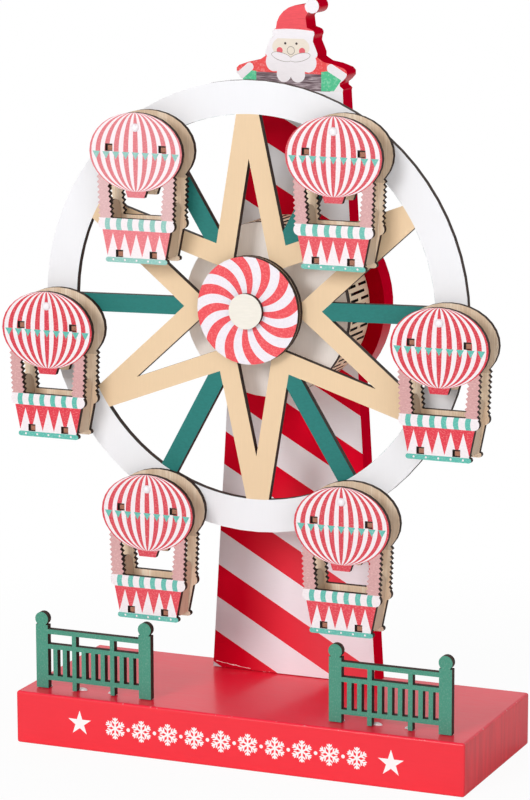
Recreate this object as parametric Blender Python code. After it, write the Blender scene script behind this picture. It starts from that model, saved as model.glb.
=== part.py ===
# Miniature wooden ferris wheel on a painted base, with a spring music movement in its drum.
# Units are metres, +Z is up and the front faces -Y. The origin is on the underside of the
# base, at its middle depth and straight below the wheel's axis. The wheel turns about an axis
# along Y, and six gondolas hang from its ring.

import math

import bmesh
import bpy
from mathutils import Matrix, Vector

mm = 0.001

# Stock and clearances
sheet = 2.4 * mm               # plywood of the gondolas, the hub discs and the drum's wall
thick_sheet = 3.0 * mm         # plywood of the wheel, the fences and the drum's front
board = 10.3 * mm              # painted board of the column
gap = 0.3 * mm                 # glue line, and play round a pin or tab
running_gap = 0.4 * mm         # play between faces that turn past each other

# Base
base_width = 200.0 * mm
base_height = 22.5 * mm
base_offset = 3.0 * mm         # from the wheel's axis to the base's middle
base_edge = 1.0 * mm           # rounding of the base's edges
back_margin = 3.9 * mm         # from the column's back to the base's back edge
fence_setback = 7.9 * mm       # from the base's front edge to the fences

# Wheel
ring_outer_radius = 93.2 * mm
ring_width = 13.7 * mm
wheel_turn = math.radians(1.4)  # how far the wheel stands turned at rest
spoke_count = 6
spoke_width = 7.5 * mm
star_corner_radius = 30.4 * mm  # inner corners of the star, where the spokes start
star_tip_width = 10.0 * mm      # width of an arm where it meets the ring
star_band = 8.3 * mm            # width of the star's band
hub_disc_radius = 22.2 * mm
hub_overlap = 2.2 * mm          # how far the hub discs cover the star's middle
cap_radius = 7.3 * mm
cap_thickness = 2.0 * mm
flange_radius = 7.0 * mm        # the winding shaft's flange, which the wheel is fixed to
flange_length = 10.2 * mm
shaft_radius = 1.5 * mm

# Gondolas, as distances from the pin: across, and up or down
gondola_count = 6
gondola_depth = 9.7 * mm        # clear space between the two plates
fence_clearance = 1.7 * mm      # from the fences to the gondolas that pass behind them
base_clearance = 22.8 * mm      # from the base to the lowest gondola
pin_radius = 1.1 * mm
pin_head_radius = 1.7 * mm
pin_head_height = 0.9 * mm
pin_collar_radius = 2.4 * mm
pin_collar_height = 1.2 * mm
balloon_half_width = 20.7 * mm
balloon_half_height = 16.1 * mm
balloon_top = 6.1 * mm
neck_half_width = 4.7 * mm
neck_foot_half = 3.7 * mm
neck_drop = 2.5 * mm
rope_outer_top = 17.1 * mm
rope_outer_bottom = 16.4 * mm
rope_inner_top = 12.4 * mm
rope_inner_bottom = 11.1 * mm
rope_tooth = 1.0 * mm           # depth of the zigzag along the ropes
rope_outer_teeth = 9
rope_inner_teeth = 7
window_height = 14.5 * mm       # from the balloon's edge to the awning, beside the ropes
awning_height = 4.8 * mm
awning_half_width = 17.1 * mm
basket_height = 11.2 * mm
basket_top_half = 15.2 * mm
basket_bottom_half = 12.9 * mm
strip_height = 2.1 * mm
strip_half_width = 13.9 * mm
tab_width = 2.7 * mm
tab_recess = 0.9 * mm           # how far the tabs' ends lie below the plates' faces
shelf_tab_offset = 11.9 * mm
shelf_overhang = 1.6 * mm       # from the shelf's tabs to its ends
shelf_depth_below_pin = 8.4 * mm
floor_tab_offset = 7.6 * mm
floor_above_strip = 1.6 * mm
side_rise = 6.9 * mm            # how far the side panels rise above the awning
side_lean = math.radians(5.5)   # how far the side panels lean outwards

# Drum and movement
drum_radius = 36.4 * mm
drum_length = 20.8 * mm
drum_drop = 2.6 * mm            # drum's centre below the wheel's axis
drum_segments = 48
bedplate_width = 34.0 * mm
bedplate_top = 14.5 * mm        # above the drum's centre
bedplate_thickness = 1.6 * mm
barrel_radius = 9.0 * mm
barrel_length = 6.4 * mm
barrel_step = 1.2 * mm          # the gear rim stands out this far round the barrel
cylinder_radius = 6.0 * mm
cylinder_length = 16.0 * mm
cylinder_pin = 0.5 * mm
pivot_radius = 1.2 * mm
pinion_radius = 4.0 * mm
pinion_width = 1.8 * mm
comb_thickness = 0.9 * mm
comb_length = 8.0 * mm
comb_foot = 3.2 * mm            # the end of the comb that is screwed down
comb_tines = 16
comb_slot = 0.35 * mm
bearing_thickness = 1.4 * mm
governor_offset = 13.0 * mm
governor_length = 15.0 * mm
worm_radius = 1.4 * mm
spindle_radius = 0.6 * mm
paddle_width = 6.0 * mm
paddle_thickness = 0.4 * mm
screw_radius = 0.9 * mm
screw_head_radius = 1.8 * mm
screw_head_height = 1.1 * mm
screw_bite = 1.5 * mm           # how far the screws enter the drum's front

# Column and the figure on its top
column_offset = 2.0 * mm        # from the wheel's axis to the column's middle
foot_half_width = 37.5 * mm
neck_half_width_column = 22.1 * mm
neck_below_ring_top = 7.7 * mm  # where the column ends and the figure's arms begin
bulge_rim = 6.5 * mm            # from the drum to the edge of the column's round middle
figure_offset = 1.3 * mm        # from the wheel's axis to the figure's middle
figure_corner = 1.2 * mm        # rounding of the figure's corners
arm_half_span = 24.6 * mm
arm_lift = 4.2 * mm             # from the column's top to the mittens
arm_thickness = 5.5 * mm
waist_inset = 3.1 * mm          # from the mittens' ends in to the waist below them
shoulder_rise = 2.9 * mm
head_half_width = 11.6 * mm
head_height = 9.0 * mm          # from the shoulders to the cap's brim
brim_half_width = 9.4 * mm
brim_shift = 0.9 * mm           # how far the brim sits to the right of the head's middle
brim_height = 3.7 * mm
cap_half_width = 6.9 * mm
cap_height = 10.0 * mm
cap_lean = 4.4 * mm             # how far the cap's top leans to the right
pompom_radius = 3.0 * mm
pompom_offset = 9.3 * mm

# Fences, as heights above the glue line
fence_left_inset = 5.8 * mm      # from the base's left end to the left fence
fence_right_inset = 8.4 * mm     # from the base's right end to the right fence
post_width = 5.5 * mm
post_height = 27.3 * mm
ball_radius = 3.0 * mm
ball_neck = 3.4 * mm
baluster_width = 1.95 * mm
baluster_gap = 2.45 * mm
baluster_count = 9
rail_height = 2.0 * mm
top_rail_top = 25.6 * mm
window_rail_top = 19.2 * mm
low_rail_top = 5.6 * mm

# Depths, front to back
column_depth_start = (fence_setback + thick_sheet + fence_clearance + sheet + gondola_depth + sheet
                      + running_gap + thick_sheet + gap + flange_length + running_gap
                      + thick_sheet + gap + drum_length + gap)
base_depth = column_depth_start + board + back_margin
front_y = -base_depth / 2
fence_y = front_y + fence_setback
plate_front_y = fence_y + thick_sheet + fence_clearance
plate_back_y = plate_front_y + sheet + gondola_depth
wheel_y = plate_back_y + sheet + running_gap
flange_y = wheel_y + thick_sheet + gap
drum_front_y = flange_y + flange_length + running_gap
drum_wall_y = drum_front_y + thick_sheet + gap
column_y = front_y + column_depth_start
bedplate_y = drum_wall_y
movement_y = bedplate_y + bedplate_thickness
barrel_y = movement_y + running_gap
cylinder_y = barrel_y + barrel_length + gap + pinion_radius
governor_y = movement_y + paddle_width / 2 + running_gap

# Heights
ring_inner_radius = ring_outer_radius - ring_width
pin_circle_radius = ring_outer_radius - ring_width / 2
balloon_centre = balloon_top - balloon_half_height
window_top = balloon_centre - balloon_half_height * math.sqrt(
    1 - (rope_inner_top / balloon_half_width) ** 2)
awning_top = window_top - window_height
awning_bottom = awning_top - awning_height
strip_top = awning_bottom - basket_height
gondola_bottom = strip_top - strip_height
axis_z = base_height + base_clearance - gondola_bottom + pin_circle_radius
neck_z = axis_z + ring_outer_radius - neck_below_ring_top
drum_z = axis_z - drum_drop
upper_bearing_z = axis_z - barrel_radius - running_gap
cylinder_top = upper_bearing_z - bearing_thickness - running_gap
cylinder_bottom = cylinder_top - cylinder_length
lower_bearing_z = cylinder_bottom - running_gap
bedplate_bottom = lower_bearing_z - bearing_thickness - gap
floor_z = strip_top + floor_above_strip


def clear_scene():
    for old in list(bpy.data.objects):
        bpy.data.objects.remove(old, do_unlink=True)


def material(name, colour, roughness, metallic=0.0):
    made = bpy.data.materials.new(name)
    made.use_nodes = True
    shader = made.node_tree.nodes["Principled BSDF"]
    shader.inputs["Base Color"].default_value = (*colour, 1.0)
    shader.inputs["Roughness"].default_value = roughness
    shader.inputs["Metallic"].default_value = metallic
    made.diffuse_color = (*colour, 1.0)
    return made


def make_materials():
    return {
        "red_paint": material("red_paint", (0.85, 0.05, 0.07), 0.35),
        "column_paint": material("column_paint", (0.62, 0.01, 0.03), 0.35),
        "white_paint": material("white_paint", (0.9, 0.89, 0.9), 0.5),
        "green_paint": material("green_paint", (0.08, 0.33, 0.24), 0.55),
        "balloon_print": material("balloon_print", (0.8, 0.28, 0.27), 0.6),
        "plywood": material("plywood", (0.62, 0.5, 0.36), 0.7),
        "pale_plywood": material("pale_plywood", (0.78, 0.72, 0.62), 0.65),
        "candy_print": material("candy_print", (0.85, 0.2, 0.22), 0.55),
        "steel": material("steel", (0.6, 0.6, 0.6), 0.3, 1.0),
        "brass": material("brass", (0.75, 0.55, 0.25), 0.3, 1.0),
    }


def add_object(name, mesh, paint, location=(0, 0, 0), rotation=0.0):
    """Place a mesh as a named piece, turned by rotation about the Y axis."""
    piece = bpy.data.objects.new(name, mesh)
    piece.location = location
    piece.rotation_euler = (0, -rotation, 0)
    if not mesh.materials:
        mesh.materials.append(paint)
    bpy.context.scene.collection.objects.link(piece)
    return piece


def finish_mesh(name, bm):
    bmesh.ops.remove_doubles(bm, verts=bm.verts, dist=1e-7)
    bmesh.ops.recalc_face_normals(bm, faces=bm.faces)
    mesh = bpy.data.meshes.new(name)
    bm.to_mesh(mesh)
    bm.free()
    mesh.shade_smooth()
    mesh.set_sharp_from_angle(angle=math.radians(30))
    return mesh


# Outlines lie in a plane (across, up) and are extruded square to it. The matrix turns
# that plane and its normal to the row's axes.
upright = Matrix(((1, 0, 0), (0, 0, 1), (0, 1, 0))).to_4x4()       # across X, up Z, thick Y
flat = Matrix.Identity(4)                                          # across X, up Y, thick Z
sideways = Matrix(((0, 0, 1), (1, 0, 0), (0, 1, 0))).to_4x4()      # across Y, up Z, thick X


def slab_mesh(name, loops, thickness, plane=upright):
    """A sheet of the given thickness: the first loop is its edge, the others are holes."""
    bm = bmesh.new()
    edges = []
    for loop in loops:
        verts = [bm.verts.new((u, v, 0)) for u, v in loop]
        edges += [bm.edges.new((verts[i - 1], verts[i])) for i in range(len(verts))]
    filled = bmesh.ops.triangle_fill(bm, edges=edges, use_beauty=True)
    faces = [f for f in filled["geom"] if isinstance(f, bmesh.types.BMFace)]
    grown = bmesh.ops.extrude_face_region(bm, geom=faces)
    moved = [v for v in grown["geom"] if isinstance(v, bmesh.types.BMVert)]
    bmesh.ops.translate(bm, verts=moved, vec=(0, 0, thickness))
    bmesh.ops.transform(bm, matrix=plane, verts=bm.verts)
    return finish_mesh(name, bm)


def turned_mesh(name, profile, segments, axis="Y"):
    """A solid of revolution: profile points are (radius, distance along the axis)."""
    bm = bmesh.new()
    verts = [bm.verts.new((r, along, 0)) for r, along in profile]
    edges = [bm.edges.new(pair) for pair in zip(verts, verts[1:])]
    bmesh.ops.spin(bm, geom=verts + edges, cent=(0, 0, 0), axis=(0, 1, 0),
                   angle=math.tau, steps=segments, use_merge=True)
    if axis == "X":
        bmesh.ops.transform(bm, matrix=Matrix.Rotation(-math.pi / 2, 4, "Z"), verts=bm.verts)
    if axis == "Z":
        bmesh.ops.transform(bm, matrix=Matrix.Rotation(math.pi / 2, 4, "X"), verts=bm.verts)
    return finish_mesh(name, bm)


def box_mesh(name, low, high):
    bm = bmesh.new()
    bmesh.ops.create_cube(bm, size=1)
    centre = [(a + b) / 2 for a, b in zip(low, high)]
    size = [b - a for a, b in zip(low, high)]
    bmesh.ops.scale(bm, vec=size, verts=bm.verts)
    bmesh.ops.translate(bm, vec=centre, verts=bm.verts)
    return finish_mesh(name, bm)


def join_with(piece, tools, operation="UNION"):
    """Add or cut tool meshes, each kept as a hidden wire object beside the piece."""
    for number, mesh in enumerate(tools):
        tool = bpy.data.objects.new(f"{piece.name}_tool_{number}", mesh)
        tool.location = piece.location
        tool.hide_render = True
        tool.display_type = "WIRE"
        bpy.context.scene.collection.objects.link(tool)
        cut = piece.modifiers.new(f"shape_{number}", "BOOLEAN")
        cut.operation = operation
        cut.solver = "EXACT"
        cut.object = tool


def arc(centre, radius, start, end, steps):
    """Points along an arc, both ends included; angles in degrees from +across."""
    points = []
    for i in range(steps + 1):
        angle = math.radians(start + (end - start) * i / steps)
        points.append((centre[0] + radius * math.cos(angle), centre[1] + radius * math.sin(angle)))
    return points


def circle(centre, radius, steps):
    return arc(centre, radius, 0, 360, steps)[:-1]


def rectangle(centre, width, height):
    u, v = centre
    return [(u - width / 2, v - height / 2), (u + width / 2, v - height / 2),
            (u + width / 2, v + height / 2), (u - width / 2, v + height / 2)]


def mirrored(points):
    return [(-u, v) for u, v in reversed(points)]


def turned_points(points, angle):
    c, s = math.cos(angle), math.sin(angle)
    return [(u * c - v * s, u * s + v * c) for u, v in points]


def zigzag(start, end, teeth, depth):
    """Points from start to end, stepping half the depth to either side."""
    line = Vector(end) - Vector(start)
    side = Vector((-line.y, line.x)).normalized() * depth / 2
    points = []
    for i in range(2 * teeth):
        sign = 1 if i % 2 else -1
        points.append(tuple(Vector(start) + line * (i + 0.5) / (2 * teeth) + side * sign))
    return points


# Base and fences

def make_base(paints):
    bm = bmesh.new()
    bmesh.ops.create_cube(bm, size=1)
    bmesh.ops.scale(bm, vec=(base_width, base_depth, base_height), verts=bm.verts)
    bmesh.ops.translate(bm, vec=(base_offset, 0, base_height / 2), verts=bm.verts)
    bmesh.ops.bevel(bm, geom=bm.edges, offset=base_edge, segments=2, profile=0.5,
                    affect="EDGES", material=-1)
    add_object("base", finish_mesh("base", bm), paints["red_paint"])


def fence_inner_width():
    return baluster_count * baluster_width + (baluster_count + 1) * baluster_gap


def fence_loops():
    inner = fence_inner_width()
    left = -inner / 2
    half = (inner + post_width) / 2
    low_rail_bottom = low_rail_top - rail_height
    meeting = math.degrees(math.acos(ball_neck / 2 / ball_radius))
    ball_height = post_height + ball_radius * math.sin(math.radians(meeting))
    pitch = baluster_width + baluster_gap

    def baluster(k):
        return left + k * pitch - baluster_width, left + k * pitch

    feet = [baluster(3), baluster(7)]
    outline = [(-half - post_width / 2, 0), (left, 0), (left, low_rail_bottom)]
    for start, end in feet:
        outline += [(start, low_rail_bottom), (start, 0), (end, 0), (end, low_rail_bottom)]
    outline += [(-left, low_rail_bottom), (-left, 0), (half + post_width / 2, 0)]
    right_top = [(half + post_width / 2, post_height)]
    right_top += arc((half, ball_height), ball_radius, -meeting, 180 + meeting, 14)
    right_top += [(-left, post_height), (-left, top_rail_top)]
    loops = [outline + right_top + mirrored(right_top)]

    def add_opening(start, end, low, high):
        loops.append([(start, low), (end, low), (end, high), (start, high)])

    bays = [left, *feet[0], *feet[1], -left]
    for start, end in zip(bays[0::2], bays[1::2]):
        add_opening(start, end, window_rail_top, top_rail_top - rail_height)
    for k in range(baluster_count + 1):
        start = left + k * pitch
        add_opening(start, start + baluster_gap, low_rail_top, window_rail_top - rail_height)
    return loops


def make_fences(paints):
    mesh = slab_mesh("fence", fence_loops(), thick_sheet)
    reach = base_width / 2 - fence_inner_width() / 2 - post_width
    for name, side, inset in (("fence_left", -1, fence_left_inset), ("fence_right", 1, fence_right_inset)):
        place = (base_offset + side * (reach - inset), fence_y, base_height + gap)
        add_object(name, mesh, paints["green_paint"], place)


# Column

def column_half(z):
    share = (z - base_height) / (neck_z - base_height)
    return foot_half_width + (neck_half_width_column - foot_half_width) * share


def bulge_angle(side, upper):
    """Where the column's straight edge meets its round middle, as an angle in degrees."""
    slope = (foot_half_width - neck_half_width_column) / (neck_z - base_height)
    reach = column_offset * side + column_half(drum_z)
    radius = drum_radius + bulge_rim
    root = math.sqrt((1 + slope ** 2) * radius ** 2 - reach ** 2)
    height = (slope * reach + (root if upper else -root)) / (1 + slope ** 2)
    angle = math.degrees(math.asin(height / radius))
    return angle if side > 0 else 180 - angle


def figure_outline():
    """Right side of the figure going up, then its left side going down."""
    arm_bottom = neck_z + arm_lift
    arm_top = arm_bottom + arm_thickness
    head_base = arm_top + shoulder_rise
    brim_base = head_base + head_height
    cap_base = brim_base + brim_height
    cap_top = cap_base + cap_height
    corner = figure_corner
    brim_radius = brim_height / 2

    def at(across, z):
        return figure_offset + across, z

    right = [at(arm_half_span - waist_inset / 2, neck_z + corner),
             at(arm_half_span - waist_inset, neck_z + 2 * corner),
             at(arm_half_span - waist_inset, arm_bottom - corner / 2),
             at(arm_half_span - waist_inset / 2, arm_bottom + corner / 2),
             at(arm_half_span, arm_bottom + 2 * corner),
             at(arm_half_span, arm_top - corner),
             at(arm_half_span - corner, arm_top),
             at(arm_half_span - arm_thickness, arm_top + shoulder_rise / 2),
             at(head_half_width + shoulder_rise, head_base - corner / 2),
             at(head_half_width, head_base + corner),
             at(head_half_width, head_base + head_height / 3),
             at(head_half_width - corner / 2, head_base + head_height / 2),
             at(head_half_width - 1.7 * corner, brim_base - corner)]
    left = [(2 * figure_offset - u, v) for u, v in reversed(right)]
    brim_reach = brim_half_width - brim_radius
    brim_middle = brim_base + brim_radius
    right += arc(at(brim_shift + brim_reach, brim_middle), brim_radius, -40, 80, 4)
    left = arc(at(brim_shift - brim_reach, brim_middle), brim_radius, 100, 220, 4) + left
    cap_edge = [at(cap_half_width, cap_base + corner / 2),
                at(cap_half_width - corner / 2, cap_base + cap_height / 2)]
    pompom = arc(at(pompom_offset, cap_top - pompom_radius / 6), pompom_radius, -125, 165, 14)
    cap_back = []
    for i in range(7):
        angle = math.radians(90 + 15 * i)
        cap_back.append(at(cap_lean + (cap_lean + cap_half_width) * math.cos(angle),
                           cap_base + cap_height * math.sin(angle)))
    return right + cap_edge + pompom + cap_back + left


def column_outline():
    foot = base_height + gap
    radius = drum_radius + bulge_rim
    middle = (0, drum_z)

    def edge(side, z):
        return column_offset + side * column_half(z), z

    points = [edge(-1, foot), edge(1, foot)]
    points += arc(middle, radius, bulge_angle(1, False), bulge_angle(1, True), 14)
    points.append(edge(1, neck_z))
    points += figure_outline()
    points.append(edge(-1, neck_z))
    points += arc(middle, radius, bulge_angle(-1, True), bulge_angle(-1, False), 14)
    return points


def make_column(paints):
    mesh = slab_mesh("column", [column_outline()], board)
    add_object("column", mesh, paints["column_paint"], (0, column_y, 0))


# Wheel and hub

def star_edge(along):
    """Half width of an arm at a distance from the hub, along the arm's own axis."""
    corner = star_corner_radius * math.cos(math.pi / spoke_count)
    corner_half = star_corner_radius * math.sin(math.pi / spoke_count)
    tip = math.sqrt(ring_inner_radius ** 2 - (star_tip_width / 2) ** 2)
    slope = (corner_half - star_tip_width / 2) / (tip - corner)
    return star_tip_width / 2 + slope * (tip - along), slope


def slot_loop():
    """The narrow slot inside an arm that points along +across."""
    slope = star_edge(0)[1]
    drop = star_band / math.cos(math.atan(slope))
    apex = (star_edge(0)[0] - drop) / slope
    radius = hub_disc_radius - hub_overlap
    a, b, c = 1 + slope ** 2, -2 * slope ** 2 * apex, slope ** 2 * apex ** 2 - radius ** 2
    foot = (-b + math.sqrt(b * b - 4 * a * c)) / (2 * a)
    angle = math.degrees(math.atan2(slope * (apex - foot), foot))
    return [(apex, 0)] + arc((0, 0), radius, angle, -angle, 4)


def bay_loop():
    """The opening between the spoke along +across and the arm above it."""
    arm = math.pi / spoke_count
    half = spoke_width / 2
    tip = math.sqrt(ring_inner_radius ** 2 - (star_tip_width / 2) ** 2)
    corner = turned_points([(tip, -star_tip_width / 2)], arm)[0]
    share = half / corner[1]
    start = (star_corner_radius + share * (corner[0] - star_corner_radius), half)
    low = math.degrees(math.asin(half / ring_inner_radius))
    high = math.degrees(math.atan2(corner[1], corner[0]))
    return [start] + arc((0, 0), ring_inner_radius, low, high, 5)


def wheel_loops():
    loops = [circle((0, 0), ring_outer_radius, 72)]
    slot, bay = slot_loop(), bay_loop()
    bay_below = [(u, -v) for u, v in bay]
    for k in range(spoke_count):
        turn = math.tau * k / spoke_count
        loops.append(turned_points(slot, turn + math.pi / spoke_count))
        loops.append(turned_points(bay, turn))
        loops.append(turned_points(bay_below, turn))
    for k in range(gondola_count):
        turn = math.tau * k / gondola_count
        loops.append(turned_points(circle((pin_circle_radius, 0), pin_radius + gap, 10), turn))
    loops.append(circle((0, 0), shaft_radius + gap, 12))
    return loops


def make_wheel(paints):
    mesh = slab_mesh("wheel", wheel_loops(), thick_sheet)
    axis = (0, wheel_y, axis_z)
    add_object("wheel", mesh, paints["white_paint"], axis, wheel_turn)

    disc = [circle((0, 0), hub_disc_radius, 40), circle((0, 0), shaft_radius + gap, 12)]
    disc_mesh = slab_mesh("hub_disc", disc, sheet)
    rear_y = wheel_y - gap - sheet
    front_disc_y = rear_y - gap - sheet
    add_object("hub_disc_rear", disc_mesh, paints["pale_plywood"], (0, rear_y, axis_z))
    front_mesh = disc_mesh.copy()
    front_mesh.materials.clear()
    add_object("hub_disc_front", front_mesh, paints["candy_print"], (0, front_disc_y, axis_z))

    cap_y = front_disc_y - gap - cap_thickness
    cap = slab_mesh("hub_cap", [circle((0, 0), cap_radius, 28)], cap_thickness)
    add_object("hub_cap", cap, paints["pale_plywood"], (0, cap_y, axis_z))

    start = front_disc_y + gap - flange_y
    end = barrel_y - gap - flange_y
    profile = [(0, start), (shaft_radius, start), (shaft_radius, 0), (flange_radius, 0),
               (flange_radius, flange_length), (shaft_radius, flange_length), (shaft_radius, end), (0, end)]
    shaft = turned_mesh("winding_shaft", profile, 20)
    add_object("winding_shaft", shaft, paints["steel"], (0, flange_y, axis_z))

    wall = barrel_radius - barrel_step
    rim = barrel_length - barrel_step
    barrel = turned_mesh("spring_barrel", [(0, 0), (wall, 0), (wall, rim), (barrel_radius, rim),
                                           (barrel_radius, barrel_length), (0, barrel_length)], 24)
    add_object("spring_barrel", barrel, paints["brass"], (0, barrel_y, axis_z))


# Gondolas

def gondola_outline():
    """Edge of a gondola plate, from the awning's left end round the balloon's top."""
    round_radius = awning_height / 2
    round_centre = (awning_half_width - round_radius, awning_bottom + round_radius)
    rope_reach = rope_outer_bottom - round_centre[0]
    rope_foot = round_centre[1] + math.sqrt(round_radius ** 2 - rope_reach ** 2)
    rope_angle = math.degrees(math.atan2(rope_foot - round_centre[1], rope_reach))
    basket_reach = basket_top_half - round_centre[0]
    basket_foot = round_centre[1] - math.sqrt(round_radius ** 2 - basket_reach ** 2)
    basket_angle = math.degrees(math.atan2(basket_foot - round_centre[1], basket_reach))
    strip_radius = strip_height / 2
    strip_centre = (strip_half_width - strip_radius, gondola_bottom + strip_radius)
    strip_share = (basket_bottom_half - strip_centre[0]) / strip_radius
    strip_angle = math.degrees(math.acos(max(-1, min(1, strip_share))))
    meet = math.asin(-math.sqrt(1 - (rope_outer_top / balloon_half_width) ** 2))

    right = arc(strip_centre, strip_radius, -90, strip_angle, 4)
    right += arc(round_centre, round_radius, basket_angle, rope_angle, 7)
    rope_top = (rope_outer_top, balloon_centre + balloon_half_height * math.sin(meet))
    right += zigzag((rope_outer_bottom, rope_foot), rope_top, rope_outer_teeth, rope_tooth)
    steps = 11
    for i in range(steps + 1):
        angle = meet + (math.pi / 2 - meet) * i / steps
        right.append((balloon_half_width * math.cos(angle),
                      balloon_centre + balloon_half_height * math.sin(angle)))
    return right[:-1] + [(0, right[-1][1])] + mirrored(right[:-1])


def window_outline():
    """The opening between the ropes, under the balloon and its neck."""
    neck_angle = math.asin(-math.sqrt(1 - (neck_half_width / balloon_half_width) ** 2))
    neck_top = balloon_centre + balloon_half_height * math.sin(neck_angle)
    neck_bottom = balloon_top - 2 * balloon_half_height - neck_drop
    rope = zigzag((rope_inner_bottom, awning_top), (rope_inner_top, window_top),
                  rope_inner_teeth, rope_tooth)
    right = [(rope_inner_bottom, awning_top)] + rope + [(rope_inner_top, window_top)]
    for share in (0.25, 0.5, 0.75):
        across = rope_inner_top + (neck_half_width - rope_inner_top) * share
        drop = balloon_half_height * math.sqrt(1 - (across / balloon_half_width) ** 2)
        right.append((across, balloon_centre - drop))
    right += [(neck_half_width, neck_top), (neck_foot_half, neck_bottom)]
    return right + mirrored(right)


def plate_loops():
    hole_width = tab_width + 2 * gap
    hole_height = sheet + 2 * gap
    loops = [gondola_outline(), window_outline(), circle((0, 0), pin_radius + gap, 10)]
    for side in (-1, 1):
        loops.append(rectangle((side * shelf_tab_offset, -shelf_depth_below_pin), hole_width, hole_height))
        loops.append(rectangle((side * floor_tab_offset, floor_z), hole_width, hole_height))
    return loops


def shelf_loop(half_width, tab_offset):
    """A cross shelf seen from above, with two tabs at its front and two at its back."""
    front, back = gap, gondola_depth - gap
    tip_front, tip_back = tab_recess - sheet, gondola_depth + sheet - tab_recess
    points = [(-half_width, front)]
    for centre in (-tab_offset, tab_offset):
        left, right = centre - tab_width / 2, centre + tab_width / 2
        points += [(left, front), (left, tip_front), (right, tip_front), (right, front)]
    points += [(half_width, front), (half_width, back)]
    for centre in (tab_offset, -tab_offset):
        left, right = centre - tab_width / 2, centre + tab_width / 2
        points += [(right, back), (right, tip_back), (left, tip_back), (left, back)]
    return points + [(-half_width, back)]


def side_loop():
    """A side panel seen from the side, from its foot up: across is the depth, with a rounded top."""
    front, back = gap, gondola_depth - gap
    radius = (back - front) / 2
    low = sheet / 2 * math.sin(side_lean)
    high = awning_top + side_rise - strip_top - radius
    corner = 0.25 * radius
    points = [(front, low + corner), (front + corner, low), (back - corner, low), (back, low + corner)]
    return points + arc((front + radius, high), radius, 0, 180, 8)


def pin_profile():
    """From the round head in front of the gondola to the collar behind the wheel."""
    head_base = -running_gap
    back = sheet + gondola_depth + sheet + running_gap + thick_sheet + running_gap
    tip = head_base - pin_head_height
    return [(0, tip), (0.6 * pin_head_radius, tip + 0.15 * pin_head_height),
            (pin_head_radius, tip + 0.65 * pin_head_height), (pin_head_radius, head_base),
            (pin_radius, head_base), (pin_radius, back), (pin_collar_radius, back),
            (pin_collar_radius, back + pin_collar_height), (0, back + pin_collar_height)]


def make_gondolas(paints):
    front_mesh = slab_mesh("gondola_front", plate_loops(), sheet)
    back_mesh = front_mesh.copy()
    panel_outer = min(basket_bottom_half, basket_top_half)
    floor_half = panel_outer - sheet - gap
    shelf_half = shelf_tab_offset + tab_width / 2 + shelf_overhang
    shelf = slab_mesh("gondola_shelf", [shelf_loop(shelf_half, shelf_tab_offset)], sheet, flat)
    floor = slab_mesh("gondola_floor", [shelf_loop(floor_half, floor_tab_offset)], sheet, flat)
    side = slab_mesh("gondola_side", [side_loop()], sheet, sideways)
    side.transform(Matrix.Translation((-sheet / 2, 0, 0)))
    side_middle = panel_outer - sheet / 2
    pin = turned_mesh("gondola_pin", pin_profile(), 10)
    inside_y = plate_front_y + sheet
    for k in range(gondola_count):
        turn = wheel_turn + math.tau * k / gondola_count
        x = pin_circle_radius * math.cos(turn)
        z = axis_z + pin_circle_radius * math.sin(turn)
        name = f"gondola_{k + 1}"
        add_object(f"{name}_front", front_mesh, paints["balloon_print"], (x, plate_front_y, z))
        add_object(f"{name}_back", back_mesh, paints["plywood"], (x, plate_back_y, z))
        add_object(f"{name}_shelf", shelf, paints["plywood"],
                   (x, inside_y, z - shelf_depth_below_pin - sheet / 2))
        add_object(f"{name}_floor", floor, paints["plywood"], (x, inside_y, z + floor_z - sheet / 2))
        add_object(f"{name}_side_left", side, paints["plywood"],
                   (x - side_middle, inside_y, z + strip_top), side_lean)
        add_object(f"{name}_side_right", side, paints["plywood"],
                   (x + side_middle, inside_y, z + strip_top), -side_lean)
        add_object(f"{name}_pin", pin, paints["white_paint"], (x, plate_front_y, z))


# Drum and music movement

def screw_places():
    """Each screw's place, from the drum's centre."""
    across = bedplate_width / 2 - 2 * screw_head_radius
    up = bedplate_top - 1.5 * screw_head_radius
    return {"movement_screw_left": (-across, up), "movement_screw_right": (across, -up / 4)}


def make_drum(paints):
    axis = (0, drum_front_y, drum_z)
    loops = [circle((0, 0), drum_radius, drum_segments),
             circle((0, drum_drop), shaft_radius + gap, 12)]
    front = add_object("drum_front", slab_mesh("drum_front", loops, thick_sheet),
                       paints["pale_plywood"], axis)
    holes = []
    deep, open_end = thick_sheet - screw_bite - gap, thick_sheet + gap
    for u, v in screw_places().values():
        hole = turned_mesh("screw_hole", [(0, deep), (screw_radius + gap, deep),
                                          (screw_radius + gap, open_end), (0, open_end)], 8)
        hole.transform(Matrix.Translation((u, 0, v)))
        holes.append(hole)
    join_with(front, holes, "DIFFERENCE")
    wall = [circle((0, 0), drum_radius, drum_segments),
            circle((0, 0), drum_radius - sheet, drum_segments)]
    place = (0, drum_wall_y, drum_z)
    add_object("drum_wall", slab_mesh("drum_wall", wall, drum_length), paints["plywood"], place)


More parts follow.
